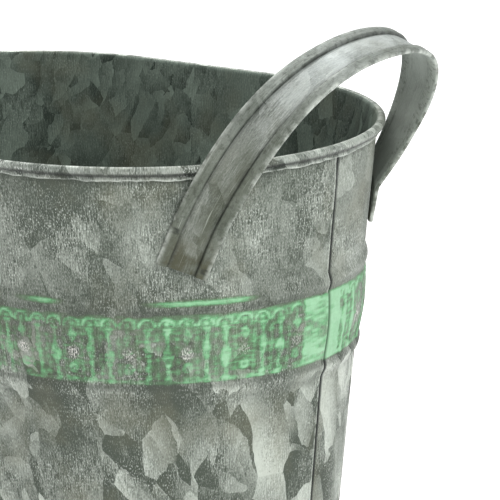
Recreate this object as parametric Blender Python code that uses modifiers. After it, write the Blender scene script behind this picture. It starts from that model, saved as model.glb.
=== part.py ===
"""Oval zinc florist bucket with two strap handles.

The wall is two half shells of thin sheet.  Each one is curled over a wire at the rim, is folded up
round the base pan's flange at the foot, and slips a joggled tab under the other shell at one end,
so a lap seam runs down the wall under each handle.  A strap with rolled edges is bent into an arch
over each end and spot welded to the wall by its two feet.

Frame: +Z up, X along the oval, origin at the centre of the foot.
"""
import math

import bmesh
import bpy
from mathutils import Matrix, Vector

MM = 0.001

# Sheet and clearances
SHEET = 0.5 * MM
GAP = 0.3 * MM

# Rim and plan: two half ellipses joined by straight sides
LENGTH_HALF = 155.0 * MM
WIDTH_HALF = 100.0 * MM
STRAIGHT_HALF = 39.0 * MM
SIDE_TAPER = 0.87
RIM_Z = 228.0 * MM
CURL_RADIUS = 1.85 * MM
WIRE_RADIUS = 1.25 * MM
LIP_LENGTH = 3.0 * MM

# Wall: how far it leans in for each metre of depth, and its rolled swellings as
# (depth below the rim, height, half width)
WALL_SLOPE = 0.128
SWELLINGS = (
    (61.5 * MM, 1.4 * MM, 5.0 * MM),
    (81.0 * MM, 1.8 * MM, 26.0 * MM),
    (101.0 * MM, 1.5 * MM, 5.5 * MM),
)

# Lap seams
TAB_WIDTH = 8.0 * MM
JOGGLE_START = 0.3 * MM
JOGGLE_END = 1.6 * MM
TAB_INSET = SHEET + GAP
TAB_TOP_NOTCH = 7.0 * MM
TAB_FOOT_NOTCH = 9.5 * MM

# Foot
HEM_HEIGHT = 4.5 * MM
HEM_WIDTH = 2.0 * (SHEET + GAP)
PAN_Z = 7.0 * MM
FLANGE_CLEARANCE = 0.6 * MM

# Handles
STRAP_HALF_WIDTH = 11.7 * MM
STRAP_WEB = 0.8 * MM
STRAP_EDGE_HEIGHT = 2.4 * MM
STRAP_EDGE_WIDTH = 5.0 * MM
STRAP_CREASE = 0.5 * MM
FOOT_TURN = math.radians(43.7)
FOOT_DEPTH = 45.2 * MM
FOOT_LEAN = math.radians(22.0)
FOOT_LENGTH = 19.0 * MM
LEG_PULL = 2.0 * MM
TOP_PULL = 73.5 * MM
ARCH_X = 174.0 * MM
ARCH_RISE = 46.4 * MM
ARCH_TIP = math.radians(20.5)
ARCH_STEPS = 18

# Outline of a rolled edge of the strap, as fractions of its width and height
STRAP_EDGE_OUTLINE = (
    (0.0, 0.85),
    (0.25, 1.0),
    (0.6, 1.0),
    (0.9, 0.75),
    (1.0, 0.45),
    (0.9, 0.12),
    (0.7, 0.0),
)

# Facets round half the oval and round the curl, and the depths where the wall's profile has a point
HALF_STEPS = 32
CURL_STEPS = 9
WALL_DEPTHS = tuple(depth * MM for depth in (30, 54, 58, 61.5, 65, 71, 81, 91, 97, 101, 105, 114, 170))
SHARP_ANGLE = math.radians(40.0)

# Half size of the boxes that cut the notches
NOTCH_REACH = 12.0 * MM

ZINC = (0.36, 0.38, 0.36)
ZINC_DARK = (0.26, 0.28, 0.27)
ZINC_PALE = (0.42, 0.44, 0.42)


def oval_point(turn, inset, z):
    """A point inset by some distance from the rim's line; turn is 0 at +X and a quarter turn at +Y.

    The long sides lean in a little less than the ends do.
    """
    along = math.cos(turn)
    side = 0.0 if abs(along) < 1e-6 else math.copysign(1.0, along)
    x = side * STRAIGHT_HALF + (LENGTH_HALF - STRAIGHT_HALF - inset) * along
    y = (WIDTH_HALF - SIDE_TAPER * inset) * math.sin(turn)
    return Vector((x, y, z))


def facet_turn(i):
    """Turn of facet corner i, counted round the oval from +X."""
    return math.pi * i / HALF_STEPS


def swelling(depth):
    """How far the rolled bands push the wall out at a depth."""
    total = 0.0
    for centre, height, half_width in SWELLINGS:
        offset = abs(depth - centre) / half_width
        if offset < 1.0:
            total += height * 0.5 * (1.0 + math.cos(math.pi * offset))
    return total


def wall_inset(z):
    """Inset of the middle of the wall's sheet at a height."""
    depth = RIM_Z - z
    return CURL_RADIUS + WALL_SLOPE * depth - swelling(depth)


def shell_profile():
    """The sheet's middle line as (inset, z): the curl's lip, over the wire, down to the folded foot."""
    lip_top = CURL_RADIUS - SHEET - GAP
    lip_angle = math.acos(-lip_top / CURL_RADIUS)
    lip_z = RIM_Z - CURL_RADIUS * math.sin(lip_angle)
    points = [(lip_top + WALL_SLOPE * LIP_LENGTH, lip_z - LIP_LENGTH)]
    for i in range(CURL_STEPS + 1):
        turn = -lip_angle + (math.pi + lip_angle) * i / CURL_STEPS
        points.append((-CURL_RADIUS * math.cos(turn), RIM_Z + CURL_RADIUS * math.sin(turn)))
    for depth in WALL_DEPTHS:
        points.append((wall_inset(RIM_Z - depth), RIM_Z - depth))
    foot_z = SHEET / 2
    foot = wall_inset(foot_z)
    points.append((foot, foot_z))
    points.append((foot + HEM_WIDTH, foot_z))
    points.append((foot + HEM_WIDTH - WALL_SLOPE * HEM_HEIGHT, foot_z + HEM_HEIGHT))
    return points


def material(name, colour, roughness):
    mat = bpy.data.materials.new(name)
    mat.use_nodes = True
    shader = mat.node_tree.nodes["Principled BSDF"]
    shader.inputs["Base Color"].default_value = (*colour, 1.0)
    shader.inputs["Roughness"].default_value = roughness
    shader.inputs["Metallic"].default_value = 1.0
    return mat


def collection(name):
    coll = bpy.data.collections.new(name)
    bpy.context.scene.collection.children.link(coll)
    return coll


def add_object(name, data, coll, mat, turn=0.0):
    obj = bpy.data.objects.new(name, data)
    obj.rotation_euler.z = turn
    coll.objects.link(obj)
    data.materials.append(mat)
    return obj


def add_cutter(name, data, coll, turn=0.0):
    """An object that only shapes others and isn't part of the bucket."""
    obj = bpy.data.objects.new(name, data)
    obj.rotation_euler.z = turn
    obj.hide_render = True
    obj.display_type = "WIRE"
    coll.objects.link(obj)
    return obj


def finish_mesh(bm, name):
    """A smooth-shaded mesh with its faces turned outwards."""
    bmesh.ops.recalc_face_normals(bm, faces=bm.faces)
    mesh = bpy.data.meshes.new(name)
    bm.to_mesh(mesh)
    bm.free()
    mesh.shade_smooth()
    mesh.set_sharp_from_angle(angle=SHARP_ANGLE)
    return mesh


def thicken(obj):
    mod = obj.modifiers.new("sheet", "SOLIDIFY")
    mod.thickness = SHEET
    mod.offset = 0.0
    mod.use_even_offset = True


def box_mesh(name, low, high):
    """A block between two opposite corners."""
    centre = [(a + b) / 2 for a, b in zip(low, high)]
    size = [b - a for a, b in zip(low, high)]
    place = Matrix.Translation(centre) @ Matrix.Diagonal((*size, 1.0))
    bm = bmesh.new()
    bmesh.ops.create_cube(bm, size=1.0, matrix=place)
    return finish_mesh(bm, name)


def notch_meshes():
    """Blocks that notch the tab at the rim and the foot, where the other shell is rolled and folded."""
    foot_x = LENGTH_HALF - wall_inset(0.0)
    rim = box_mesh(
        "notch_rim",
        (LENGTH_HALF - NOTCH_REACH, -NOTCH_REACH, RIM_Z - TAB_TOP_NOTCH),
        (LENGTH_HALF + NOTCH_REACH, JOGGLE_END, RIM_Z + NOTCH_REACH),
    )
    foot = box_mesh(
        "notch_foot",
        (foot_x - NOTCH_REACH, -NOTCH_REACH, -NOTCH_REACH),
        (foot_x + NOTCH_REACH, JOGGLE_END, TAB_FOOT_NOTCH),
    )
    return rim, foot


def shell_mesh():
    """The half shell on the +Y side: a strip of sheet swept round from its tab at +X to its edge at -X."""
    stations = [
        (-TAB_WIDTH / WIDTH_HALF, TAB_INSET),
        (-0.5 * TAB_WIDTH / WIDTH_HALF, TAB_INSET),
        (JOGGLE_START / WIDTH_HALF, TAB_INSET),
        (JOGGLE_END / WIDTH_HALF, 0.0),
    ]
    stations += [(facet_turn(i), 0.0) for i in range(1, HALF_STEPS + 1)]
    profile = shell_profile()
    bm = bmesh.new()
    line = [bm.verts.new(oval_point(stations[0][0], inset + stations[0][1], z)) for inset, z in profile]
    edges = [bm.edges.new(pair) for pair in zip(line, line[1:])]
    for turn, shift in stations[1:]:
        swept = bmesh.ops.extrude_edge_only(bm, edges=edges)["geom"]
        edges = [item for item in swept if isinstance(item, bmesh.types.BMEdge)]
        # the swept copies keep the profile's order, so each one is placed from its own profile point
        copies = [item for item in swept if isinstance(item, bmesh.types.BMVert)]
        for vert, (inset, z) in zip(copies, profile):
            vert.co = oval_point(turn, inset + shift, z)
    return finish_mesh(bm, "shell")


def pan_mesh():
    """A flat oval plate whose edge is turned down into the folded foot of the wall."""
    flange_foot = SHEET + FLANGE_CLEARANCE
    bm = bmesh.new()
    bmesh.ops.create_circle(bm, cap_ends=True, segments=2 * HALF_STEPS, radius=1.0)
    for i, vert in enumerate(bm.verts):
        vert.co = oval_point(facet_turn(i), wall_inset(PAN_Z) + SHEET + GAP, PAN_Z)
    rim = [edge for edge in bm.edges if edge.is_boundary]
    turned = bmesh.ops.extrude_edge_only(bm, edges=rim)["geom"]
    copies = [item for item in turned if isinstance(item, bmesh.types.BMVert)]
    for i, vert in enumerate(copies):
        vert.co = oval_point(facet_turn(i), wall_inset(flange_foot) + SHEET + GAP, flange_foot)
    return finish_mesh(bm, "base_pan")


def rim_wire_curve():
    """The wire that the rim is curled round."""
    curve = bpy.data.curves.new("rim_wire", "CURVE")
    curve.dimensions = "3D"
    curve.twist_mode = "Z_UP"
    curve.bevel_depth = WIRE_RADIUS
    curve.bevel_resolution = 2
    spline = curve.splines.new("POLY")
    spline.points.add(2 * HALF_STEPS - 1)
    for i, point in enumerate(spline.points):
        point.co = (*oval_point(facet_turn(i), 0.0, RIM_Z), 1.0)
    spline.use_cyclic_u = True
    spline.use_smooth = True
    return curve


def strap_section():
    """Outline across the strap: a thin web between two rolled edges that stand up on the outer side.

    The sweep turns the outline's -Y to the outside of the arch.
    """
    root = STRAP_HALF_WIDTH - STRAP_EDGE_WIDTH
    half = [(root - STRAP_CREASE, STRAP_WEB)]
    half += [(root + x * STRAP_EDGE_WIDTH, y * STRAP_EDGE_HEIGHT) for x, y in STRAP_EDGE_OUTLINE]
    curve = bpy.data.curves.new("strap_section", "CURVE")
    curve.dimensions = "2D"
    curve.fill_mode = "NONE"
    outline = half + [(-x, y) for x, y in reversed(half)]
    spline = curve.splines.new("POLY")
    spline.points.add(len(outline) - 1)
    for point, (x, y) in zip(spline.points, reversed(outline)):
        point.co = (x, -y, 0.0, 1.0)
    spline.use_cyclic_u = True
    return curve


def foot_frame():
    """Foot of the +X handle on the +Y side: its lowest point, the way up the leg, and the way across."""
    z = RIM_Z - FOOT_DEPTH
    inset = wall_inset(z)
    here = oval_point(FOOT_TURN, inset, z)
    step = math.radians(0.5)
    along = oval_point(FOOT_TURN - step, inset, z) - oval_point(FOOT_TURN + step, inset, z)
    along.normalize()
    up = oval_point(FOOT_TURN, wall_inset(z + MM), z + MM) - here
    up.normalize()
    normal = up.cross(along).normalized()
    if normal.dot(here) < 0:
        normal.negate()
    foot = here + normal * (SHEET / 2 + GAP)
    leg = up * math.cos(FOOT_LEAN) + along * math.sin(FOOT_LEAN)
    across = along * math.cos(FOOT_LEAN) - up * math.sin(FOOT_LEAN)
    return foot, leg, across


def strap_path():
    """Points up one leg to the top of the arch, with the direction across the strap at each."""
    foot, leg, across = foot_frame()
    bend = foot + leg * FOOT_LENGTH
    top = Vector((ARCH_X, 0.0, RIM_Z + ARCH_RISE))
    across_top = Vector((math.cos(ARCH_TIP), 0.0, -math.sin(ARCH_TIP)))
    shoulder = top + Vector((0.0, TOP_PULL, 0.0))
    rows = [(foot, across), (foot.lerp(bend, 0.5), across)]
    for i in range(ARCH_STEPS + 1):
        t = i / ARCH_STEPS
        u = 1.0 - t
        point = u**3 * bend + t**3 * top
        point += 3 * u * u * t * (bend + leg * LEG_PULL) + 3 * u * t * t * shoulder
        turn = t * t * (3.0 - 2.0 * t)
        rows.append((point, across.lerp(across_top, turn)))
    return rows


def handle_curve(section):
    """The +X handle: its section swept up one leg, over the arch and down the other."""
    rows = strap_path()
    mirror = Matrix.Diagonal((1.0, -1.0, 1.0))
    rows = rows + [(mirror @ point, mirror @ across) for point, across in reversed(rows[:-1])]
    curve = bpy.data.curves.new("handle", "CURVE")
    curve.dimensions = "3D"
    curve.twist_mode = "Z_UP"
    curve.bevel_mode = "OBJECT"
    curve.bevel_object = section
    curve.use_fill_caps = True
    spline = curve.splines.new("POLY")
    spline.points.add(len(rows) - 1)
    points = [row[0] for row in rows]
    for i, (place, across) in enumerate(rows):
        before = points[max(i - 1, 0)]
        after = points[min(i + 1, len(points) - 1)]
        arms = [(b - a).normalized() for a, b in ((before, place), (place, after)) if a != b]
        tangent = sum(arms, Vector()).normalized()
        level = tangent.cross(Vector((0.0, 0.0, 1.0))).normalized()
        across = (across - tangent * across.dot(tangent)).normalized()
        spline.points[i].co = (*place, 1.0)
        spline.points[i].tilt = math.atan2(tangent.dot(level.cross(across)), level.dot(across))
    spline.use_smooth = True
    return curve


def build():
    for obj in list(bpy.data.objects):
        bpy.data.objects.remove(obj, do_unlink=True)
    parts = collection("florist_bucket")
    cutters = collection("cutters")
    zinc = material("zinc_wall", ZINC, 0.45)
    zinc_inside = material("zinc_base", ZINC_DARK, 0.5)
    zinc_strap = material("zinc_strap", ZINC_PALE, 0.4)
    steel = material("steel_wire", ZINC_DARK, 0.4)

    shell = shell_mesh()
    for name, turn in (("shell_rear", 0.0), ("shell_front", math.pi)):
        obj = add_object(name, shell.copy(), parts, zinc, turn)
        thicken(obj)
        for mesh in notch_meshes():
            cut = obj.modifiers.new("notch", "BOOLEAN")
            cut.operation = "DIFFERENCE"
            cut.solver = "EXACT"
            cut.object = add_cutter(mesh.name, mesh, cutters, turn)

    pan = add_object("base_pan", pan_mesh(), parts, zinc_inside)
    thicken(pan)

    add_object("rim_wire", rim_wire_curve(), parts, steel)

    section = add_cutter("strap_section", strap_section(), cutters)
    strap = handle_curve(section)
    for name, turn in (("handle_right", 0.0), ("handle_left", math.pi)):
        add_object(name, strap.copy(), parts, zinc_strap, turn)


build()
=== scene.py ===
"""Looks of the florist bucket: weathered zinc sheet, a mint-washed embossed band and strap handles.

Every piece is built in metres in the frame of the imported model.  Places round the wall are given by
`run`, the distance along the rim's line from a shell's lap edge, and `depth`, the distance below the rim.
"""
import math

import bpy
import numpy as np
from mathutils import Matrix, Vector


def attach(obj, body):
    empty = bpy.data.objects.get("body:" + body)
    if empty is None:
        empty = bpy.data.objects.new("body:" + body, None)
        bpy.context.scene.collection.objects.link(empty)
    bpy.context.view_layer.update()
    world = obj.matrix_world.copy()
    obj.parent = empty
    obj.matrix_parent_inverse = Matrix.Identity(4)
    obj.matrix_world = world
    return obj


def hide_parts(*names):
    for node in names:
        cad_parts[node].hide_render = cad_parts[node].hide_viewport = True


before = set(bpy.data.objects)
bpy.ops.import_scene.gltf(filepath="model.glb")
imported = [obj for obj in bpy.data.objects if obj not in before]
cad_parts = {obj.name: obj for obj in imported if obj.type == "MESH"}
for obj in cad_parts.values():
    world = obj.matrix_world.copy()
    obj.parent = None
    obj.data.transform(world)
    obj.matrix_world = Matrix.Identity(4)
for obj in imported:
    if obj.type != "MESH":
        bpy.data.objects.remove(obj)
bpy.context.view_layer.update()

MM = 0.001

# The sheet work, with the same driving sizes as the CAD model.  WALL_SLOPE is how far the ends lean in
# for each metre of depth, and SIDE_TAPER is the share of that lean that the sides have.
SHEET = 0.5 * MM
GAP = 0.3 * MM
LENGTH_HALF = 155.0 * MM
WIDTH_HALF = 100.0 * MM
STRAIGHT_HALF = 39.0 * MM
SIDE_TAPER = 0.87
RIM_Z = 228.0 * MM
CURL_RADIUS = 1.85 * MM
LIP_LENGTH = 2.8 * MM
WALL_SLOPE = 0.128
TAB_WIDTH = 8.0 * MM
TAB_TOP = 7.0 * MM
TAB_FOOT = 9.5 * MM
HEM_HEIGHT = 4.5 * MM
HEM_WIDTH = 2.0 * (SHEET + GAP)
PAN_Z = 7.0 * MM
FLANGE_FOOT = 1.1 * MM

# Rolled swellings of the wall, as (depth, height, half width)
SWELLINGS = (
    (61.5 * MM, 1.4 * MM, 5.0 * MM),
    (81.0 * MM, 1.8 * MM, 26.0 * MM),
    (101.0 * MM, 1.5 * MM, 5.5 * MM),
)

# Embossed band: scallops over columns, with a motif in place of every third column.  The figures start
# PLAIN_RUN from the lap edge, and their outlines wander by up to half of FIGURE_SLIP.
BAND_TOP = 66.0 * MM
BAND_FOOT = 97.2 * MM
PLAIN_RUN = 16.2 * MM
SCALLOP = 9.3 * MM
SCALLOPS = 42
FIGURE_HEIGHT = 0.5 * MM
FIGURE_SLIP = 1.0 * MM

# Places of the figures' parts below the band's top
ARCH_LEVEL = 4.4 * MM
EYE_LEVEL = 3.9 * MM
CAP_LEVEL = 6.2 * MM
SHAFT_LEVEL = 4.6 * MM
PLINTH_LEVEL = 30.0 * MM
LOZENGE_LEVEL = 9.3 * MM
ROSETTE_LEVEL = 17.3 * MM
BOSS_LEVEL = 24.2 * MM
TOE_LEVEL = 29.6 * MM

# The mint wash: its thickness comes and goes round the wall, and streaks of it lie on the upper swelling
WASH_THICKEST = 44.0 * MM
WASH_WAVE = 188.0 * MM
STREAK_DEPTH = 60.4 * MM
FRONT_STREAKS = ((38 * MM, 103 * MM), (132 * MM, 168 * MM), (236 * MM, 290 * MM))
REAR_STREAKS = ((60 * MM, 96 * MM), (170 * MM, 232 * MM), (330 * MM, 352 * MM))

# Grooves darkened with dirt and painted shade, as (depth, half width, weight); the painted shade lies under
# the upper swelling and under the curl's lip
GROOVES = (
    (64.3 * MM, 3.2 * MM, 1.0),
    (99.0 * MM, 3.0 * MM, 1.0),
    (106.0 * MM, 3.5 * MM, 0.5),
    (5.2 * MM, 1.8 * MM, 0.8),
)

# Unevenness of hand-worked sheet: wavelengths in metres round the wall and down it, and how deep it goes
RIPPLE_WAVES = ((0.071, 0.13), (0.043, -0.08), (0.027, 0.055), (0.019, -0.047))
DENT = 0.22 * MM
LIP_STAND_OFF = 0.22 * MM
LIP_SAG = 0.55 * MM
LAP_SPRING = 0.4 * MM

# Handles, with the same driving sizes as the CAD model
STRAP_HALF = 11.7 * MM
STRAP_RISE = 2.4 * MM
FOOT_TURN = math.radians(43.7)
FOOT_DEPTH = 45.2 * MM
FOOT_LEAN = math.radians(22.0)
FOOT_LENGTH = 19.0 * MM
LEG_PULL = 2.0 * MM
TOP_PULL = 73.5 * MM
ARCH_X = 174.0 * MM
ARCH_RISE = 46.4 * MM
ARCH_TIP = math.radians(20.5)

# The strap's section: width of each folded hem, height of the sunken web, radius of the hem's fold, and
# the heights that tell its outer side from its inner one
STRAP_HEM = 5.4 * MM
STRAP_WEB = 0.95 * MM
FOLD_RADIUS = 1.1 * MM
STRAP_OUTSIDE = 0.5 * MM
STRAP_INSIDE = 0.45 * MM

# Spot welds on the hems near each foot, as (place across the strap, height above the foot's end)
WELDS = ((-9.0 * MM, 17.0 * MM), (9.0 * MM, 3.4 * MM))
WELD_RADIUS = 2.1 * MM
WELD_DEPTH = 0.9 * MM

# The zinc's crystals lean and are longer than they are wide
CRYSTAL_LEAN = math.radians(28)
CRYSTAL_LENGTH = 1.75

# Depth below which the wall has its bright crystals; above the band they are faint
BELOW_BAND = 104.0 * MM

# Fineness of the meshes; the rows above and below the band are given by their depths in millimetres
RUN_STEP = 0.98 * MM
BAND_STEP = 0.72 * MM
ROWS_ABOVE = (3, 5.5, 7, 9, 13, 18, 24, 30, 36, 42, 48, 53)
ROWS_BELOW = (109, 112, 116, 122, 130, 140, 152, 165, 180, 195, 208, 218, 224)
LIP_STEPS = 4
CURL_STEPS = 16
PAN_STEPS = 128
FOOT_STEPS = 30
ARCH_STEPS = 60


# ---------------------------------------------------------------- shapes


def smooth(low, high, value):
    """0 below low, 1 above high, with a soft step between."""
    t = np.clip((value - low) / (high - low), 0.0, 1.0)
    return t * t * (3.0 - 2.0 * t)


def bump(value, centre, half_width):
    """A soft hill of height 1 round a centre."""
    offset = np.clip(np.abs(value - centre) / half_width, 0.0, 1.0)
    return 0.5 * (1.0 + np.cos(math.pi * offset))


def ripple(run, depth, seed):
    """Slow unevenness, between about -1 and 1."""
    total = np.zeros(np.broadcast(run, depth).shape)
    for i, (wave_run, wave_depth) in enumerate(RIPPLE_WAVES):
        phase = seed * 1.7 + i * 2.3
        angle = 2 * math.pi * (run / wave_run + depth / wave_depth) + phase
        total = total + np.sin(angle) / (1.4 + i)
    return total / 2.0


def mottle(run, depth, long, tall, seed):
    """Random soft patches between 0 and 1, of a given length round the wall and height."""
    side = 64
    table = np.random.default_rng(seed).random((side, side))
    u, v = run / long, depth / tall
    i, j = np.floor(u).astype(int), np.floor(v).astype(int)
    a, b = smooth(0.0, 1.0, u - i), smooth(0.0, 1.0, v - j)

    def corner(di, dj):
        return table[(i + di) % side, (j + dj) % side]

    above = corner(0, 0) * (1.0 - a) + corner(1, 0) * a
    below = corner(0, 1) * (1.0 - a) + corner(1, 1) * a
    return above * (1.0 - b) + below * b


def oval_point(turn, slide, inset, z):
    """A point inset from the rim's line.

    turn is 0 at +X and a quarter turn at +Y; slide is 1 on the +X half ellipse, -1 on the other, and
    runs between them along a straight side.
    """
    x = slide * STRAIGHT_HALF + (LENGTH_HALF - STRAIGHT_HALF - inset) * np.cos(turn)
    y = (WIDTH_HALF - SIDE_TAPER * inset) * np.sin(turn)
    return np.stack(np.broadcast_arrays(x, y, z), axis=-1)


def wall_inset(depth):
    """How far the wall lies inside the rim's line: it slopes in, and the rolled swellings push it out."""
    swelling = 0.0
    for centre, height, half_width in SWELLINGS:
        swelling = swelling + height * bump(depth, centre, half_width)
    return CURL_RADIUS + WALL_SLOPE * depth - swelling


def half_round():
    """Turn and slide against run for half the oval, as three matching arrays."""
    quarter = np.linspace(0.0, math.pi / 2, 1001)
    turns = np.concatenate((quarter, quarter + math.pi / 2))
    slides = np.repeat((1.0, -1.0), len(quarter))
    steps = np.linalg.norm(np.diff(oval_point(turns, slides, 0.0, 0.0), axis=0), axis=1)
    return turns, slides, np.concatenate(([0.0], np.cumsum(steps)))


TURNS, SLIDES, RUNS = half_round()
HALF_RUN = RUNS[-1]


def place(mesh_name, points, faces, materials, attributes=None, slots=None):
    """A mesh object: each attribute has a number per point, and slots has a material's index per face."""
    mesh = bpy.data.meshes.new(mesh_name)
    mesh.from_pydata([tuple(p) for p in points], [], [tuple(f) for f in faces])
    for mat in materials:
        mesh.materials.append(mat)
    for name, values in (attributes or {}).items():
        layer = mesh.attributes.new(name, "FLOAT", "POINT")
        layer.data.foreach_set("value", np.asarray(values, dtype=np.float32))
    if slots is not None:
        mesh.polygons.foreach_set("material_index", np.asarray(slots, dtype=np.int32))
    obj = bpy.data.objects.new(mesh_name, mesh)
    bpy.context.scene.collection.objects.link(obj)
    return obj


def grid_faces(columns, rows, keep=None, closed=False):
    """Quads between neighbouring columns of points; closed joins each column's last point to its first."""
    faces = []
    last = rows if closed else rows - 1
    for i in range(columns - 1):
        for j in range(last):
            k = (j + 1) % rows
            if keep is None or keep[i, j]:
                faces.append((i * rows + j, (i + 1) * rows + j, (i + 1) * rows + k, i * rows + k))
    return faces


def smooth_faces(mesh, sharp_angle):
    """Smooths the faces and keeps the sheet's edges crisp."""
    mesh.shade_smooth()
    mesh.set_sharp_from_angle(angle=math.radians(sharp_angle))


def thicken(obj, sharp_angle, slot_step=0):
    """Gives a surface the sheet's thickness; its far side shows the material slot_step further on."""
    mod = obj.modifiers.new("sheet", "SOLIDIFY")
    mod.thickness = SHEET
    mod.offset = 0.0
    mod.material_offset = slot_step
    graph = bpy.context.evaluated_depsgraph_get()
    mesh = bpy.data.meshes.new_from_object(obj.evaluated_get(graph))
    obj.modifiers.clear()
    obj.data = mesh
    smooth_faces(mesh, sharp_angle)
    return obj


# ---------------------------------------------------------------- embossed band


def scallop_place(run):
    """Which scallop a point lies under, and how far it is from that scallop's middle."""
    count = np.clip(np.floor((run - PLAIN_RUN) / SCALLOP), 0, SCALLOPS - 1)
    return count, run - PLAIN_RUN - (count + 0.5) * SCALLOP


def disc(across, down, radius, edge):
    """1 inside a round spot, falling to 0 over its edge."""
    return 1.0 - smooth(radius - edge, radius + edge, np.hypot(across, down))


def arch_figure(across, level):
    """A scallop: a ring seen above its centre, and a small boss under it."""
    reach = np.hypot(across, 1.25 * (level - ARCH_LEVEL))
    ring = bump(reach, 3.7 * MM, 1.3 * MM) * (level < ARCH_LEVEL + 0.6 * MM)
    eye = disc(across, level - EYE_LEVEL, 1.2 * MM, 0.7 * MM)
    return np.maximum(ring, 0.7 * eye)


def column_figure(across, level, kind):
    """A shaft with a cap, a pointed waist and a plinth; kind 1 has a lower and wider waist than kind 2."""
    cap = 1.1 * MM * bump(level, CAP_LEVEL, 2.4 * MM)
    plinth = 1.0 * MM * bump(level, PLINTH_LEVEL, 3.5 * MM)
    waist_level = np.where(kind == 1, 18.5 * MM, 15.5 * MM)
    waist_width = np.where(kind == 1, 1.9 * MM, 1.1 * MM)
    waist = waist_width * np.maximum(0.0, 1.0 - np.abs(level - waist_level) / (5.0 * MM))
    half_width = 0.9 * MM + cap + plinth + waist
    shaft = 1.0 - smooth(half_width - 0.5 * MM, half_width + 0.5 * MM, np.abs(across))
    return shaft * smooth(SHAFT_LEVEL, SHAFT_LEVEL + 1.4 * MM, level) * (kind > 0)


def motif_figure(across, level, rosette):
    """A lozenge, a five-petalled rosette, a dished boss and a toe, one under the other."""
    lozenge = np.abs(across) / (2.6 * MM) + np.abs(level - LOZENGE_LEVEL) / (4.4 * MM)
    lozenge = 1.0 - smooth(0.7, 1.1, lozenge)
    petals = 0.65 + 0.35 * np.cos(5 * np.arctan2(level - ROSETTE_LEVEL, across))
    below = level - BOSS_LEVEL
    boss = disc(across, below, 2.5 * MM, 0.6 * MM) - 0.5 * disc(across, below, 0.9 * MM, 0.5 * MM)
    toe = bump(across, 0.0, 3.0 * MM) * bump(level, TOE_LEVEL, 1.5 * MM)
    return np.maximum.reduce([lozenge, rosette * petals, boss, toe])


def band_figures(run, depth):
    """Height of the embossed figures (0 to 1), how bare their rosettes are, and where the band is plain."""
    count, across = scallop_place(run)
    kind = count % 3
    level = depth - BAND_TOP
    tall = BAND_FOOT - BAND_TOP
    figured = smooth(PLAIN_RUN - 0.5 * MM, PLAIN_RUN + 0.3 * MM, run)
    figured = figured * (1.0 - smooth(0.0, 0.8 * MM, run - PLAIN_RUN - SCALLOPS * SCALLOP))
    rosette = disc(across, level - ROSETTE_LEVEL, 2.6 * MM, 1.3 * MM)
    motif = motif_figure(across, level, rosette) * (kind == 0)
    bars = 0.5 * bump(np.abs(across), 4.3 * MM, 0.8 * MM) * smooth(6.0 * MM, 9.0 * MM, level)
    figures = [arch_figure(across, level), column_figure(across, level, kind), motif, bars]
    sill = bump(level, tall - 0.6 * MM, 1.0 * MM)
    plain = (1.0 - figured) * smooth(-0.3 * MM, 0.8 * MM, level)
    plain = plain * (1.0 - smooth(-0.8 * MM, 0.3 * MM, level - tall))
    in_band = (level > -0.5 * MM) & (level < tall + 0.5 * MM)
    height = np.maximum.reduce([np.maximum.reduce(figures) * figured, sill * 0.8, plain * 0.75]) * in_band
    worn = 0.35 + 0.65 * mottle(run, depth, 11 * MM, 40 * MM, 5)
    bare = rosette * (kind == 0) * figured * in_band * worn
    return height, bare, plain


def wash(run, depth, height, bare, plain, streaks, seed):
    """How much of the mint wash is left: thick on the figures and the plain ends, thin between them."""
    slow = np.cos(2 * math.pi * (run - WASH_THICKEST) / WASH_WAVE) + 0.4 * ripple(run, 0.0, seed)
    slow = slow + 2.2 * smooth(HALF_RUN - 42 * MM, HALF_RUN - 16 * MM, run)
    smear = mottle(run, depth, 4.5 * MM, 1.1 * MM, 7 + seed) - 0.5
    patch = mottle(run, depth, 13 * MM, 9 * MM, 17 + seed) - 0.5
    in_band = smooth(BAND_TOP - 0.6 * MM, BAND_TOP + 0.4 * MM, depth)
    in_band = in_band * (1.0 - smooth(BAND_FOOT - 0.2 * MM, BAND_FOOT + 0.8 * MM, depth))
    left = 0.14 + 0.12 * slow + 0.5 * height + 0.25 * plain - 0.8 * bare + 0.62 * smear + 0.34 * patch
    left = left + 0.2 * bump(depth, BAND_TOP + 2.0 * MM, 5.0 * MM)
    mask = in_band * np.clip(left, 0.0, 1.0)
    for start, end in streaks:
        length = smooth(start, start + 14 * MM, run) * (1.0 - smooth(end - 22 * MM, end, run))
        half_width = 0.6 * MM + 1.3 * MM * length
        mask = np.maximum(mask, length * bump(depth, STREAK_DEPTH, half_width))
    return mask


# ---------------------------------------------------------------- half shells


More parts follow.
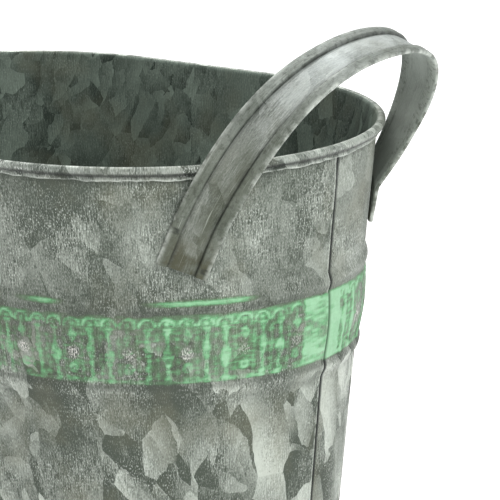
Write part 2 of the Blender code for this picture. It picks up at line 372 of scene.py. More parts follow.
def shell_rows():
    """The sheet's middle line from the curl's lip to the folded foot, as arrays of inset, height and depth.

    On the lip, depth falls from 0 at its root to -1 at its cut edge; on the curl it is 0.
    """
    lip_top = CURL_RADIUS - SHEET - GAP
    lip_angle = math.acos(-lip_top / CURL_RADIUS)
    lip_z = RIM_Z - CURL_RADIUS * math.sin(lip_angle)
    rows = []
    for t in np.linspace(1.0, 0.0, LIP_STEPS + 1)[:-1]:
        flare = 0.25 * MM * t * t
        rows.append((lip_top + WALL_SLOPE * t * LIP_LENGTH - flare, lip_z - t * LIP_LENGTH, -t))
    for turn in np.linspace(-lip_angle, math.pi, CURL_STEPS + 1):
        rows.append((-CURL_RADIUS * math.cos(turn), RIM_Z + CURL_RADIUS * math.sin(turn), 0.0))
    depths = [ROWS_ABOVE, np.arange(56.0, 66.0, 1.0), np.arange(66.0, 98.0, BAND_STEP / MM)]
    depths += [np.arange(98.6, 107.5, 1.0), ROWS_BELOW]
    for depth in np.concatenate(depths) * MM:
        rows.append((wall_inset(depth), RIM_Z - depth, depth))
    foot_z = SHEET / 2
    foot = wall_inset(RIM_Z - foot_z)
    bend = 0.2 * MM
    rows += [(foot, foot_z + 2 * bend, RIM_Z), (foot + bend, foot_z, RIM_Z)]
    rows += [(foot + HEM_WIDTH - bend, foot_z, RIM_Z), (foot + HEM_WIDTH, foot_z + 2 * bend, RIM_Z)]
    rows.append((foot + HEM_WIDTH - WALL_SLOPE * HEM_HEIGHT, foot_z + HEM_HEIGHT, RIM_Z))
    return np.array(rows).T


def shell_runs():
    """Runs of the sheet's columns from the lap edge to the tab's end, closer together at both ends."""
    edge = np.array([0.0, 0.25, 0.7, 1.4]) * MM
    middle = np.arange(2.2 * MM, HALF_RUN - 2.2 * MM, RUN_STEP)
    tab = np.array([-2.0, -1.5, -1.0, -0.5, -0.03, 0.4, 2.0, 4.0, 6.0, TAB_WIDTH / MM]) * MM + HALF_RUN
    return np.concatenate((edge, middle, tab))


def tab_step(run, down):
    """1 on the tab below the curl, where it steps in under the other shell, and 0 before it."""
    return smooth(HALF_RUN - 1.7 * MM, HALF_RUN - 0.8 * MM, run) * smooth(5.5 * MM, 7.0 * MM, down)


def wall_shift(run, down, under, height, seed):
    """How far the tab's step, the sprung lap edge, the figures and the dents move the sheet inwards."""
    spring = (1.0 - smooth(0.0, 4.0 * MM, run)) * (0.35 + bump(down, 18.0 * MM, 22.0 * MM))
    spring = spring * smooth(7.0 * MM, 14.0 * MM, down)
    shift = under * (SHEET + GAP) - LAP_SPRING * spring - FIGURE_HEIGHT * height * (1.0 - under)
    dents = DENT * ripple(run, down, seed) * smooth(6 * MM, 30 * MM, down) * smooth(2 * MM, 12 * MM, run)
    return shift - dents


def lip_waves(run, down, seed):
    """The curl's lip was crimped by hand: how far its cut edge stands off the wall and how far it rises."""
    lip = np.clip(-down, 0.0, 1.0)
    waves = ripple(run * 2.3, 0.0, seed + 3.0) + 0.5 * ripple(run * 6.0, 0.0, seed + 5.0)
    return lip * LIP_STAND_OFF * (waves + 0.4), lip * LIP_SAG * waves


def shell_marks(run, down, z, under):
    """Masks for painted shade in the seam's gap and under the curl, dirt and painted shade in the grooves,
    bare cut edges with a painted highlight, and how near the laps are.
    """
    wall = down > 2.0 * MM
    # gap and tuck are painted shade: in the seam's gap where the tab slips under, and under the curl down
    # to its lip's root
    gap = np.maximum(under, smooth(HALF_RUN - 2.6 * MM, HALF_RUN - 1.3 * MM, run)) * wall
    tuck = np.where(down < 0.0, smooth(0.75, 0.15, -down), 0.0)
    tuck = np.maximum(tuck, (down == 0.0) * smooth(RIM_Z + 0.1 * MM, RIM_Z - 1.2 * MM, z))
    groove = sum(weight * bump(down, depth, half_width) for depth, half_width, weight in GROOVES)
    edge = (1.0 - smooth(0.0, 1.1 * MM, run)) * wall + smooth(0.8, 1.0, -down)
    lap = 0.25 * (1.0 - smooth(0.0, 80 * MM, run)) + smooth(HALF_RUN - 80 * MM, HALF_RUN - 8 * MM, run)
    return {"crevice_shade": np.maximum(gap, 0.9 * tuck), "groove": groove, "edge": edge, "lap": lap}


def tab_faces(runs, z, depth):
    """Which faces of the sheet's grid are kept: the tab has no curl, no lip and no folded foot."""
    keep = np.ones((len(runs) - 1, len(z) - 1), bool)
    beyond = runs[:-1] > HALF_RUN - 0.2 * MM
    off_wall = (depth[:-1] < TAB_TOP) | (z[:-1] < TAB_FOOT)
    keep[np.ix_(beyond, off_wall)] = False
    return keep


def curl_slots(inset, z, depth, keep):
    """1 for each kept face of the curl and its lip, where the sheet shows its other side, and 0 elsewhere.

    The curl's last stretch, where it turns down into the inside of the wall, counts as wall.
    """
    inner = (z > RIM_Z - 0.1 * MM) & (inset > 0.35 * CURL_RADIUS)
    on_curl = (depth < 2.0 * MM) & ~inner
    return np.broadcast_to(on_curl[:-1], keep.shape)[keep]


def shell(name, start, materials, streaks, seed):
    """One half shell: its lap edge lies at the turn `start`, and its tab slips under the other shell."""
    inset, z, depth = shell_rows()
    runs = shell_runs()
    run, down = np.broadcast_arrays(runs[:, None], depth[None, :])
    turn = np.interp(runs, RUNS, TURNS) + np.maximum(runs - HALF_RUN, 0.0) / WIDTH_HALF
    slide = np.interp(runs, RUNS, SLIDES) * math.cos(start)
    slip = FIGURE_SLIP * (mottle(run, down, 6 * MM, 2.5 * MM, 27) - 0.5)
    height, bare, plain = band_figures(run + slip, down + 0.8 * slip)
    under = tab_step(run, down)
    stand_off, sag = lip_waves(run, down, seed)
    shift = wall_shift(run, down, under, height, seed) - stand_off
    points = oval_point(start - turn[:, None], slide[:, None], inset + shift, z + sag)
    attributes = {
        "across": run + start,
        "along": np.broadcast_to(z, run.shape),
        "wash": wash(run, down, height, bare, plain, streaks, seed),
        "bare": bare,
        "relief": height,
        **shell_marks(run, down, z, under),
    }
    attributes = {key: values.ravel() for key, values in attributes.items()}
    keep = tab_faces(runs, z, depth)
    faces = grid_faces(len(runs), len(z), keep)
    slots = curl_slots(inset, z, depth, keep)
    obj = place(name, points.reshape(-1, 3), faces, materials, attributes, slots)
    return thicken(obj, 55, slot_step=1)


# ---------------------------------------------------------------- base pan


def base_pan(materials):
    """A flat oval plate whose edge is turned down into the folded foot."""
    runs = np.linspace(0.0, HALF_RUN, PAN_STEPS + 1)[:-1]
    turn, slide = np.interp(runs, RUNS, TURNS), np.interp(runs, RUNS, SLIDES)
    turns, slides = np.concatenate((turn, turn + math.pi)), np.concatenate((slide, -slide))
    edge = wall_inset(RIM_Z - PAN_Z) + SHEET + GAP
    flange_edge = wall_inset(RIM_Z - FLANGE_FOOT) + SHEET + GAP
    flat = oval_point(turns, slides, edge + 1.2 * MM, PAN_Z)
    rings = [flat * (scale, scale, 1.0) for scale in (0.02, 0.3, 0.6, 0.85, 0.96, 1.0)]
    rings.append(oval_point(turns, slides, edge + 0.25 * MM, PAN_Z - 0.2 * MM))
    rings.append(oval_point(turns, slides, edge, PAN_Z - 0.8 * MM))
    rings.append(oval_point(turns, slides, flange_edge, FLANGE_FOOT))
    faces = grid_faces(len(rings), len(turns), closed=True)
    faces.append(tuple(range(len(turns)))[::-1])
    obj = place("base_plate", np.concatenate(rings), [face[::-1] for face in faces], materials)
    return thicken(obj, 40)


# ---------------------------------------------------------------- strap handles


def strap_section():
    """Outline across the strap as (across, out): a sunken web between two edges folded into soft hems."""
    root = STRAP_HALF - STRAP_HEM
    web_top = [
        (0.0, STRAP_WEB + 0.28 * MM),
        (0.35 * root, STRAP_WEB + 0.24 * MM),
        (0.7 * root, STRAP_WEB + 0.1 * MM),
        (root - 0.5 * MM, STRAP_WEB - 0.1 * MM),
        (root - 0.12 * MM, STRAP_WEB - 0.2 * MM),
    ]
    hem_top = [
        (root - 0.05 * MM, 0.55 * STRAP_RISE),
        (root + 0.25 * MM, 0.86 * STRAP_RISE),
        (root + 0.8 * MM, 0.98 * STRAP_RISE),
        (root + 1.8 * MM, STRAP_RISE),
        (root + 3.2 * MM, 0.95 * STRAP_RISE),
    ]
    fold = []
    for angle in np.radians(np.linspace(60, -70, 8)).tolist():
        x = STRAP_HALF - FOLD_RADIUS + FOLD_RADIUS * math.cos(angle)
        fold.append((x, 0.5 * STRAP_RISE + FOLD_RADIUS * math.sin(angle)))
    underside = [
        (root + 2.6 * MM, 0.0),
        (root + 1.0 * MM, 0.02 * MM),
        (root + 0.2 * MM, 0.1 * MM),
        (root - 0.4 * MM, 0.32 * MM),
        (0.5 * root, 0.38 * MM),
        (0.0, 0.4 * MM),
    ]
    right = web_top + hem_top + fold + underside
    return right + [(-x, y) for x, y in reversed(right[1:-1])]


def strap_foot():
    """The +X handle's front foot on the wall: its end, the way up the leg, and the way across the strap."""
    def on_wall(turn, depth, inset):
        return Vector(oval_point(turn, 1.0, inset, RIM_Z - depth))

    inset, step = wall_inset(FOOT_DEPTH), math.radians(0.5)
    here = on_wall(FOOT_TURN, FOOT_DEPTH, inset)
    higher = on_wall(FOOT_TURN, FOOT_DEPTH - MM, wall_inset(FOOT_DEPTH - MM))
    along = on_wall(FOOT_TURN - step, FOOT_DEPTH, inset) - on_wall(FOOT_TURN + step, FOOT_DEPTH, inset)
    along.normalize()
    up = (higher - here).normalized()
    normal = up.cross(along).normalized()
    foot = here + normal * (SHEET / 2 + GAP)
    leg = up * math.cos(FOOT_LEAN) + along * math.sin(FOOT_LEAN)
    across = along * math.cos(FOOT_LEAN) - up * math.sin(FOOT_LEAN)
    return foot, leg, across


def strap_path():
    """Places and directions across the strap, from one foot of the +X handle over the arch to the other."""
    foot, leg, across = strap_foot()
    bend = foot + leg * FOOT_LENGTH
    top = Vector((ARCH_X, 0.0, RIM_Z + ARCH_RISE))
    across_top = Vector((math.cos(ARCH_TIP), 0.0, -math.sin(ARCH_TIP)))
    shoulder = top + Vector((0.0, TOP_PULL, 0.0))
    path = [(foot.lerp(bend, t), across) for t in np.linspace(0.0, 1.0, FOOT_STEPS + 1).tolist()[:-1]]
    for t in np.linspace(0.0, 1.0, ARCH_STEPS + 1).tolist():
        u = 1.0 - t
        point = u**3 * bend + t**3 * top
        point += 3 * u * u * t * (bend + leg * LEG_PULL) + 3 * u * t * t * shoulder
        path.append((point, across.lerp(across_top, t * t * (3.0 - 2.0 * t))))
    flip = Matrix.Diagonal((1.0, -1.0, 1.0))
    return path + [(flip @ point, flip @ side) for point, side in reversed(path[:-1])]


def strap_stations():
    """The handle's stations, each a place, the way across the strap and the way outwards."""
    path = strap_path()
    places = [point for point, _ in path]
    stations = []
    for i, (point, side) in enumerate(path):
        ahead = (places[min(i + 1, len(path) - 1)] - places[max(i - 1, 0)]).normalized()
        side = (side - ahead * side.dot(ahead)).normalized()
        stations.append((point, side, ahead.cross(side).normalized()))
    return stations


def strap_sweep(section, stations, seed):
    """The section's points carried along the stations, a little uneven, and how far along each one is."""
    points, length, travel = [], [], 0.0
    before = stations[0][0]
    for point, side, out in stations:
        travel += (point - before).length
        before = point
        wobble = 0.12 * MM * math.sin(travel / (17 * MM) + seed)
        for x, y in section:
            sway = wobble * (abs(x) > 6 * MM)
            worn = 1.0 + 0.05 * math.sin(travel / (6.5 * MM) + 3 * x / MM + seed)
            rise = y * worn if y > STRAP_OUTSIDE else y
            points.append(point + side * (x + sway) + out * rise)
            length.append(travel)
    return points, np.array(length)


def strap(name, turn, mat, seed):
    """One handle, swept along its stations, with the spot welds' dimples and straight cut ends."""
    section = strap_section()
    stations = strap_stations()
    count = len(section)
    points, length = strap_sweep(section, stations, seed)
    ends = np.minimum(length, length[-1] - length)
    x, y = np.tile(section, (len(stations), 1)).T
    outer = y > STRAP_OUTSIDE
    weld = np.zeros(len(points))
    for weld_x, weld_up in WELDS:
        weld = np.maximum(weld, bump(np.hypot(x - weld_x, ends - weld_up), 0.0, WELD_RADIUS) * outer)
    spin = Matrix.Rotation(turn, 3, "Z")
    for i, dimple in enumerate(weld.tolist()):
        out = stations[i // count][2]
        points[i] = spin @ (points[i] - out * (WELD_DEPTH * dimple))
    faces = grid_faces(len(stations), count, closed=True)
    faces.append(tuple(range(count)))
    faces.append(tuple(range(len(points) - count, len(points)))[::-1])
    attributes = {
        "across": x + turn,
        "along": length,
        "weld": bump(weld, 0.5, 0.5),
        "rub_and_highlight": smooth(10.6 * MM, 11.5 * MM, np.abs(x)) * outer,
        "foot": 1.0 - smooth(4 * MM, 24 * MM, ends),
        "hem": smooth(5.6 * MM, 6.6 * MM, np.abs(x)),
        "crease_shade": bump(np.abs(x), 6.2 * MM, 0.7 * MM) * outer,
        "inner": y < STRAP_INSIDE,
    }
    obj = place(name, points, faces, [mat], attributes)
    smooth_faces(obj.data, 50)
    return obj


# ---------------------------------------------------------------- materials


class Sketch:
    """A material's node tree, with short calls for the nodes that are used here.

    An unrolled material is laid out across and along the bent sheet's grain, as if the sheet lay flat.
    Values may be numbers or sockets, and noise scales are features per metre.
    """

    def __init__(self, name, unrolled=False):
        self.mat = bpy.data.materials.new(name)
        self.mat.use_nodes = True
        self.tree = self.mat.node_tree
        self.shader = self.tree.nodes["Principled BSDF"]
        self.coords = self.node("TexCoord").outputs["Object"]
        self.height = self.node("SeparateXYZ", {0: self.coords}).outputs["Z"]
        if unrolled:
            flat = {"X": self.attribute("across"), "Z": self.attribute("along")}
            self.coords = self.node("CombineXYZ", flat).outputs[0]

    def node(self, kind, inputs=None, **settings):
        made = self.tree.nodes.new("ShaderNode" + kind)
        for key, value in settings.items():
            setattr(made, key, value)
        for key, value in (inputs or {}).items():
            self.put(made.inputs[key], value)
        return made

    def put(self, socket, value):
        if isinstance(value, bpy.types.NodeSocket):
            self.tree.links.new(value, socket)
        else:
            socket.default_value = value

    def math(self, operation, a, b, clamp=False):
        return self.node("Math", {0: a, 1: b}, operation=operation, use_clamp=clamp).outputs[0]

    def times(self, a, b):
        return self.math("MULTIPLY", a, b)

    def vector(self, operation, inputs, output="Vector"):
        return self.node("VectorMath", inputs, operation=operation).outputs[output]

    def noise(self, scale, detail=4.0, rough=0.6, stretch=None):
        where = self.vector("MULTIPLY", {0: self.coords, 1: stretch}) if stretch else self.coords
        inputs = {"Vector": where, "Scale": scale, "Detail": detail, "Roughness": rough}
        return self.node("TexNoise", inputs).outputs["Fac"]

    def span(self, value, low, high, to_low=0.0, to_high=1.0):
        """A value carried from one range to another and held at its ends."""
        inputs = {"Value": value, "From Min": low, "From Max": high, "To Min": to_low, "To Max": to_high}
        return self.node("MapRange", inputs, clamp=True).outputs["Result"]

    def patches(self, scale, low, high, to_low=0.0, to_high=1.0, **noise):
        """Noise whose range low to high becomes blotches between to_low and to_high."""
        return self.span(self.noise(scale, **noise), low, high, to_low, to_high)

    def warped(self, vector, scale, amount):
        """Coordinates pushed about by noise, so that cells get leafy outlines."""
        noise = self.node("TexNoise", {"Vector": vector, "Scale": scale, "Detail": 1.0}).outputs["Color"]
        push = self.vector("SCALE", {0: self.centred(noise), "Scale": amount})
        return self.vector("ADD", {0: vector, 1: push})

    def centred(self, colour):
        return self.vector("SUBTRACT", {0: colour, 1: (0.5, 0.5, 0.5)})

    def part(self, colour, channel):
        return self.node("SeparateColor", {"Color": colour}).outputs[channel]

    def attribute(self, name):
        return self.node("Attribute", attribute_name=name).outputs["Fac"]

    def mix(self, factor, a, b):
        made = self.node("Mix", data_type="RGBA")
        self.put(made.inputs["Factor"], factor)
        self.put(made.inputs["A"], a)
        self.put(made.inputs["B"], b)
        return made.outputs["Result"]

    def paint(self, colour, mask, strength, tint):
        """The colour with a tint laid over it, as strong as the mask times the strength."""
        return self.mix(self.times(mask, strength), colour, tint)

    def blotch(self, colour, name, patches, strength, tint):
        """The colour with a tint laid over it where a mesh attribute and patches meet."""
        return self.paint(colour, self.times(self.attribute(name), patches), strength, tint)


def rgb(red, green, blue):
    """A scene-linear colour from 8-bit display values."""
    def linear(value):
        value /= 255.0
        return value / 12.92 if value <= 0.04045 else ((value + 0.055) / 1.055) ** 2.4
    return (linear(red), linear(green), linear(blue), 1.0)


# Marks on the walls and the rim; among them painted shade, painted glints and a painted highlight on the
# cut edges
OLIVE = rgb(112, 112, 92)
FLECK = rgb(222, 228, 221)
PIT = rgb(62, 68, 60)
GROOVE_DIRT_AND_SHADE = rgb(66, 72, 64)
BAND_DIRT_AND_SHADE = rgb(76, 80, 66)
GAP_SHADE = rgb(22, 26, 22)
BARE_EDGE_AND_HIGHLIGHT = rgb(216, 222, 213)
PAINTED_GLINT = rgb(224, 220, 216)
SCUFF = rgb(225, 230, 224)

# The mint wash: its two mottled tones, its paler tone where it is thick, and the faint stain it leaves
MINT_DARK = rgb(58, 134, 76)
MINT = rgb(132, 198, 148)
MINT_THICK = rgb(174, 213, 182)
MINT_STAIN = rgb(98, 158, 104)

# Marks on the strap handles; among them a painted highlight, painted light and painted shade
LEG_DARKENING = rgb(74, 79, 64)
ARCH_HIGHLIGHT = rgb(192, 199, 199)
HEM_GREY = rgb(90, 97, 86)
INNER_PAINTED_LIGHT = rgb(190, 198, 190)
GRIT = rgb(56, 60, 50)
WELD_STAIN = rgb(66, 66, 46)
DARK_SCRATCH = rgb(60, 64, 56)
PALE_SCRATCH = rgb(196, 202, 192)
HEM_RUB_AND_HIGHLIGHT = rgb(206, 212, 204)
CREASE_SHADE_AND_WELD_MARK = rgb(38, 42, 37)


def crystals(sketch, size, seed):
    """The zinc's crystals: a brightness that slopes across each in a direction of its own, and a choice.

    The choice is a random number per crystal.
    """
    where = sketch.warped(sketch.coords, 0.5 / size, 1.1 * size)
    where = sketch.warped(where, 2.6 / size, 0.16 * size)
    leaning = {
        "Vector": where,
        "Location": (seed, 2.1 * seed, -seed),
        "Rotation": (0.0, CRYSTAL_LEAN, 0.0),
        "Scale": (1.0, 1.0, CRYSTAL_LENGTH),
    }
    where = sketch.node("Mapping", leaning, vector_type="TEXTURE").outputs[0]
    cell = sketch.node("TexVoronoi", {"Vector": where, "Scale": 1.0 / size})
    colour = cell.outputs["Color"]
    heading = sketch.vector("NORMALIZE", {0: sketch.centred(colour)})
    offset = sketch.vector("SUBTRACT", {0: where, 1: cell.outputs["Position"]})
    slope = sketch.vector("DOT_PRODUCT", {0: offset, 1: heading}, "Value")
    level = sketch.span(sketch.part(colour, "Red"), 0.25, 0.8, -0.4, 0.45)
    brightness = sketch.math("ADD", level, sketch.times(slope, 1.15 / size))
    return brightness, sketch.part(colour, "Green")


def zinc_coat(sketch, dark, pale, size, contrast, grain=1.0, cloud_size=75 * MM, lift=0.47):
    """Colour, height, roughness and specks of weathered zinc with crystals of a given size.

    contrast is the crystals', lift is the general paleness, and grain scales everything finer than clouds.
    """
    large, choice = crystals(sketch, size, 0.7)
    small, _ = crystals(sketch, 0.5 * size, 3.3)
    pick = sketch.span(choice, 0.49, 0.51)
    cell = sketch.node("Mix", {"Factor": pick, "A": large, "B": small}).outputs["Result"]
    cloud = sketch.noise(1.0 / cloud_size, 3.0, 0.5)
    speck = sketch.noise(2200.0, 1.5, 0.6, stretch=(1.0, 1.0, 0.4))
    streak = sketch.noise(1500.0, 1.5, 0.5, stretch=(1.0, 1.0, 0.14))
    blot = sketch.noise(150.0, 4.0, 0.65)
    ribbed = sketch.patches(42.0, 0.38, 0.62, 0.4 * grain, 1.7 * grain, detail=2.0, rough=0.5)
    tone = sketch.times(cell, contrast)
    for layer, weight in ((streak, ribbed), (cloud, 1.3), (speck, 0.9 * grain), (blot, 0.5 * grain)):
        tone = sketch.math("ADD", tone, sketch.times(sketch.math("SUBTRACT", layer, 0.5), weight))
    tone = sketch.math("ADD", tone, lift, clamp=True)
    colour = sketch.mix(tone, dark, pale)
    olive = sketch.patches(24.0, 0.5, 0.68, 0.0, 0.4)
    colour = sketch.mix(olive, colour, OLIVE)
    fleck = sketch.times(sketch.span(speck, 0.57, 0.68), sketch.span(ribbed, 0.8, 1.7, 0.12, 0.6))
    colour = sketch.paint(colour, fleck, grain, FLECK)
    pit = sketch.times(sketch.span(speck, 0.42, 0.32), sketch.span(ribbed, 0.8, 1.7, 0.1, 0.6))
    colour = sketch.paint(colour, pit, grain, PIT)
    height = sketch.math("ADD", sketch.times(streak, 0.9), sketch.times(blot, 0.9))
    rough = sketch.span(tone, 0.0, 1.0, 0.72, 0.48)
    return colour, height, rough, speck


def finish_coat(sketch, colour, height, rough, metal, bump_depth):
    relief = sketch.node("Bump", {"Height": height, "Strength": 0.6, "Distance": bump_depth})
    sketch.put(sketch.shader.inputs["Base Color"], colour)
    sketch.put(sketch.shader.inputs["Roughness"], rough)
    sketch.put(sketch.shader.inputs["Metallic"], metal)
    sketch.put(sketch.shader.inputs["Normal"], relief.outputs["Normal"])
    return sketch.mat


def paint_gap_shade(sketch, colour):
    # painted shade in the gaps and under the curl
    return sketch.paint(colour, sketch.attribute("crevice_shade"), 0.92, GAP_SHADE)


def dirt_shade_and_edge_highlight(sketch, colour):
    """Dirt and painted shade in the grooves, painted shade in the gaps, and bare metal with a painted
    highlight along the sheet's cut edges.
    """
    patchy = sketch.patches(70.0, 0.3, 0.62, 0.35, 1.0, rough=0.65)
    # dirt with painted shade in the grooves
    colour = sketch.paint(colour, sketch.attribute("groove"), sketch.times(patchy, 0.62), GROOVE_DIRT_AND_SHADE)
    # bare metal with a painted highlight along the cut edges
    edge_wear_and_highlight = sketch.patches(260.0, 0.35, 0.6, detail=3.0)
    colour = sketch.blotch(colour, "edge", edge_wear_and_highlight, 0.7, BARE_EDGE_AND_HIGHLIGHT)
    return paint_gap_shade(sketch, colour)


def mint_wash(sketch, colour, speck):
    """The worn mint wash over the band's colour, and how far it covers the metal; the band's low recesses
    get dirt and painted shade, and its bare rosettes painted glints.
    """
    left = sketch.attribute("wash")
    # dirt and painted shade in the band's low, thinly washed recesses
    recess_dirt_and_shade = sketch.times(sketch.span(left, 0.02, 0.12), sketch.span(sketch.attribute("relief"), 0.8, 0.1))
    colour = dirt_shade_and_edge_highlight(sketch, sketch.paint(colour, recess_dirt_and_shade, 0.52, BAND_DIRT_AND_SHADE))
    wear = sketch.noise(420.0, 4.0, 0.75, stretch=(0.45, 1.0, 1.3))
    wear = sketch.times(sketch.math("SUBTRACT", wear, 0.5), 1.5)
    cover = sketch.span(sketch.math("ADD", left, wear), 0.3, 0.85)
    cover = sketch.times(cover, sketch.span(left, 0.02, 0.16))
    mint = sketch.mix(sketch.patches(300.0, 0.3, 0.7, rough=0.7), MINT_DARK, MINT)
    mint = sketch.mix(sketch.span(left, 0.66, 0.95, 0.0, 0.6), mint, MINT_THICK)
    colour = sketch.paint(colour, cover, 0.9, mint)
    # painted glints on the bare rosettes
    glint = sketch.times(sketch.attribute("bare"), sketch.span(speck, 0.5, 0.6))
    colour = paint_gap_shade(sketch, sketch.mix(glint, colour, PAINTED_GLINT))
    colour = sketch.paint(colour, sketch.span(left, 0.02, 0.3), 0.22, MINT_STAIN)
    return colour, cover


def across_band(sketch, below, above):
    """A number that changes from one value below the embossed band to another above it."""
    return sketch.span(sketch.height, RIM_Z - BELOW_BAND, RIM_Z - BAND_TOP, below, above)


def wall_outside():
    """Pale spangled zinc, leafier below the band, with the worn mint wash in the band and painted light
    near the laps.
    """
    sketch = Sketch("zinc_outside", unrolled=True)
    calm = sketch.patches(14.0, 0.35, 0.65, 0.85, 1.15, detail=2.0, rough=0.5)
    contrast = sketch.times(across_band(sketch, 0.56, 0.16), calm)
    # painted light: paler towards the laps
    painted_light_at_lap = sketch.times(sketch.attribute("lap"), across_band(sketch, 0.2, 0.46))
    lift = sketch.math("ADD", across_band(sketch, 0.37, 0.1), painted_light_at_lap)
    colour, height, rough, speck = zinc_coat(
        sketch, rgb(70, 78, 68), rgb(184, 191, 181), 20 * MM, contrast, lift=lift
    )
    colour, cover = mint_wash(sketch, colour, speck)
    metal = sketch.span(cover, 0.0, 1.0, 0.3, 0.0)
    return finish_coat(sketch, colour, height, rough, metal, 0.3 * MM)


def wall_inside():
    """Dull leafy zinc, darker than the outside, partly a darker zinc and partly painted shade; paler near
    the laps, which is painted light.
    """
    sketch = Sketch("zinc_inside", unrolled=True)
    # painted light: paler towards the laps
    lift = sketch.span(sketch.attribute("lap"), 0.0, 0.25, 0.42, 0.7)
    colour, height, rough, _ = zinc_coat(
        sketch, rgb(48, 59, 51), rgb(130, 144, 132), 13 * MM, 0.34, 0.7, lift=lift
    )
    return finish_coat(sketch, colour, height, rough, 0.3, 0.2 * MM)


def rim_coat():
    """The curled rim, scuffed in patches, with painted shade under the curl and at its lip's root and a
    painted highlight along the lip's cut edge.
    """
    sketch = Sketch("zinc_rim", unrolled=True)
    colour, height, rough, speck = zinc_coat(
        sketch, rgb(72, 80, 72), rgb(190, 197, 188), 9 * MM, 0.3, cloud_size=24 * MM
    )
    scuff = sketch.times(sketch.span(speck, 0.56, 0.66), sketch.patches(60.0, 0.5, 0.6, detail=3.0))
    colour = sketch.paint(colour, scuff, 0.8, SCUFF)
    return finish_coat(sketch, dirt_shade_and_edge_highlight(sketch, colour), height, rough, 0.35, 0.3 * MM)


def base_coat():
    sketch = Sketch("zinc_base")
    colour, height, rough, _ = zinc_coat(sketch, rgb(62, 72, 64), rgb(132, 142, 132), 18 * MM, 0.3, 0.6)
    return finish_coat(sketch, colour, height, rough, 0.35, 0.2 * MM)


def wire_coat():
    sketch = Sketch("steel_wire")
    colour, height, rough, _ = zinc_coat(sketch, rgb(80, 86, 80), rgb(140, 146, 140), 6 * MM, 0.5)
    return finish_coat(sketch, colour, height, rough, 0.6, 0.1 * MM)


def strap_coat():
    """Zinc with a patchy painted highlight along the arch and painted light on the inner side, darker down
    the legs, gritty on the hems, stained round the welded feet; the hems' folded edges are scuffed with a
    painted highlight and their creases carry painted shade.
    """
    sketch = Sketch("zinc_strap", unrolled=True)
    colour, height, rough, _ = zinc_coat(
        sketch, rgb(72, 79, 70), rgb(198, 204, 198), 11 * MM, 0.2, 0.65, 40 * MM, 0.42
    )
    # darker down the legs towards the feet, in patches
    legs = sketch.span(sketch.height, RIM_Z + 38 * MM, RIM_Z - 6 * MM)
    patchy = sketch.patches(75.0, 0.35, 0.65, 0.35, 1.0, stretch=(1.0, 1.0, 0.5))
    colour = sketch.paint(colour, legs, sketch.times(patchy, 0.95), LEG_DARKENING)
    # painted highlight along the arch's top, in patches
    arch = sketch.span(sketch.height, RIM_Z + 16 * MM, RIM_Z + 48 * MM)
    colour = sketch.paint(colour, arch, sketch.patches(50.0, 0.3, 0.6, 0.1, 0.5), ARCH_HIGHLIGHT)
    colour = sketch.paint(colour, sketch.attribute("hem"), 0.55, HEM_GREY)
    # painted light on the strap's inner side
    colour = sketch.paint(colour, sketch.attribute("inner"), 0.5, INNER_PAINTED_LIGHT)
    grit = sketch.patches(420.0, 0.5, 0.66, rough=0.7)
    colour = sketch.blotch(colour, "hem", grit, 0.6, GRIT)
    stain = sketch.patches(150.0, 0.36, 0.6, rough=0.7)
    colour = sketch.blotch(colour, "foot", stain, 0.85, WELD_STAIN)
    scratch = sketch.noise(900.0, 2.0, 0.6, stretch=(1.0, 1.0, 0.04))
    colour = sketch.mix(sketch.span(scratch, 0.6, 0.72, 0.0, 0.35), colour, DARK_SCRATCH)
    colour = sketch.mix(sketch.span(scratch, 0.38, 0.28, 0.0, 0.35), colour, PALE_SCRATCH)
    # scuffed, with a painted highlight, along the hems' folded edges
    colour = sketch.blotch(colour, "rub_and_highlight", sketch.patches(160.0, 0.42, 0.58), 0.6, HEM_RUB_AND_HIGHLIGHT)
    # painted shade in the creases between the web and the hems, and dark weld marks round the dimples
    broken = sketch.patches(130.0, 0.38, 0.58, 0.45, 1.0, detail=3.0)
    crease_shade = sketch.times(sketch.attribute("crease_shade"), broken)
    dark = sketch.math("MAXIMUM", crease_shade, sketch.attribute("weld"))
    colour = sketch.paint(colour, dark, 0.82, CREASE_SHADE_AND_WELD_MARK)
    return finish_coat(sketch, colour, height, rough, 0.35, 0.3 * MM)


# ---------------------------------------------------------------- stage


def floor():
    """A large white sheet under the bucket, with a faint glow that keeps it white all over."""
    mesh = bpy.data.meshes.new("floor")
    reach = 8.0
    corners = [(-reach, -reach, 0), (reach, -reach, 0), (reach, reach, 0), (-reach, reach, 0)]
    mesh.from_pydata(corners, [], [(0, 1, 2, 3)])
    obj = bpy.data.objects.new("floor", mesh)
    bpy.context.scene.collection.objects.link(obj)
    mat = bpy.data.materials.new("floor_paper")
    mat.use_nodes = True
    shader = mat.node_tree.nodes["Principled BSDF"]
    shader.inputs["Base Color"].default_value = (0.93, 0.93, 0.93, 1.0)
    shader.inputs["Roughness"].default_value = 0.9
    shader.inputs["Emission Color"].default_value = (1.0, 1.0, 1.0, 1.0)
    shader.inputs["Emission Strength"].default_value = 0.3
    mesh.materials.append(mat)


def soft_light(name, place_at, aim, size, watts):
    data = bpy.data.lights.new(name, "AREA")
    data.shape = "DISK"
    data.size = size
    data.energy = watts
    obj = bpy.data.objects.new(name, data)
    obj.location = place_at
    obj.rotation_mode = "QUATERNION"
    obj.rotation_quaternion = (Vector(aim) - Vector(place_at)).to_track_quat("-Z", "Y")
    bpy.context.scene.collection.objects.link(obj)


def studio_world():
    """White surroundings, bright up to the horizon and dimmer overhead."""
    world = bpy.data.worlds.new("studio")
    world.use_nodes = True
    nodes, links = world.node_tree.nodes, world.node_tree.links
    background = nodes["Background"]
    background.inputs["Color"].default_value = (1.0, 1.0, 1.0, 1.0)
    height = nodes.new("ShaderNodeSeparateXYZ")
    links.new(nodes.new("ShaderNodeTexCoord").outputs["Generated"], height.inputs[0])
    fade = nodes.new("ShaderNodeMapRange")
    for key, value in {"From Min": 0.04, "From Max": 0.3, "To Min": 0.8, "To Max": 0.26}.items():
        fade.inputs[key].default_value = value
    links.new(height.outputs["Z"], fade.inputs["Value"])
    links.new(fade.outputs["Result"], background.inputs["Strength"])
    bpy.context.scene.world = world


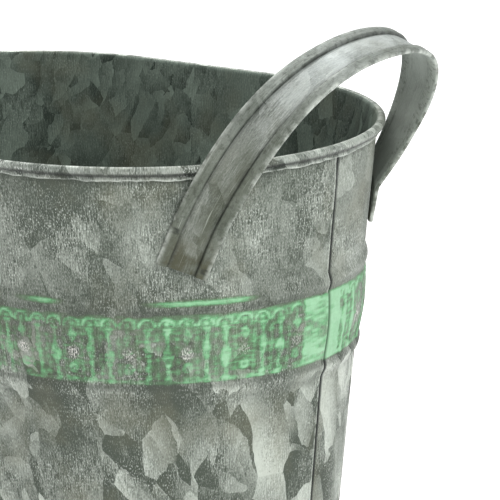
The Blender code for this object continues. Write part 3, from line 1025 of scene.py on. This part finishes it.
def lighting():
    """A key light on the right, a broad light above and a weak fill from the front left."""
    studio_world()
    aim = (0.0, 0.0, 0.15)
    soft_light("key", (1.75, -0.7, 1.75), aim, 0.8, 44.0)
    soft_light("top", (-0.9, 0.5, 2.2), aim, 1.6, 50.0)
    soft_light("fill", (-1.2, -2.0, 1.2), aim, 1.4, 4.0)
    bpy.context.scene.view_settings.view_transform = "Standard"


def camera():
    """A long lens from above the front right, a little rolled."""
    azimuth, elevation, roll = math.radians(39.5), math.radians(14.914), math.radians(-2.023)
    eye = Vector((0.96664, -1.04816, RIM_Z + 0.3087))
    level = math.cos(elevation)
    back = Vector((math.sin(azimuth) * level, -math.cos(azimuth) * level, math.sin(elevation)))
    right = Vector((math.cos(azimuth), math.sin(azimuth), 0.0))
    up = back.cross(right)
    rolled_right = right * math.cos(roll) + up * math.sin(roll)
    rolled_up = up * math.cos(roll) - right * math.sin(roll)
    facing = Matrix((rolled_right, rolled_up, back)).transposed().to_4x4()
    data = bpy.data.cameras.new("camera")
    data.sensor_width = 36.0
    data.lens = 227.56
    obj = bpy.data.objects.new("camera", data)
    obj.matrix_world = Matrix.Translation(eye) @ facing
    bpy.context.scene.collection.objects.link(obj)
    bpy.context.scene.camera = obj


# ---------------------------------------------------------------- the bucket


def ride(obj, node):
    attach(obj, "root")
    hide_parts(node)


def build():
    sheet_coats = [wall_outside(), wall_inside(), rim_coat()]
    strap_mat = strap_coat()
    ride(shell("shell_front_sheet", 0.0, sheet_coats, FRONT_STREAKS, 1), "shell_front")
    ride(shell("shell_rear_sheet", math.pi, sheet_coats, REAR_STREAKS, 2), "shell_rear")
    ride(strap("handle_right_strap", 0.0, strap_mat, 0.0), "handle_right")
    ride(strap("handle_left_strap", math.pi, strap_mat, 1.3), "handle_left")
    ride(base_pan([base_coat()]), "base_pan")
    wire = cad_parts["rim_wire"]
    wire.data.materials.clear()
    wire.data.materials.append(wire_coat())


build()
floor()
lighting()
camera()

bpy.context.view_layer.update()
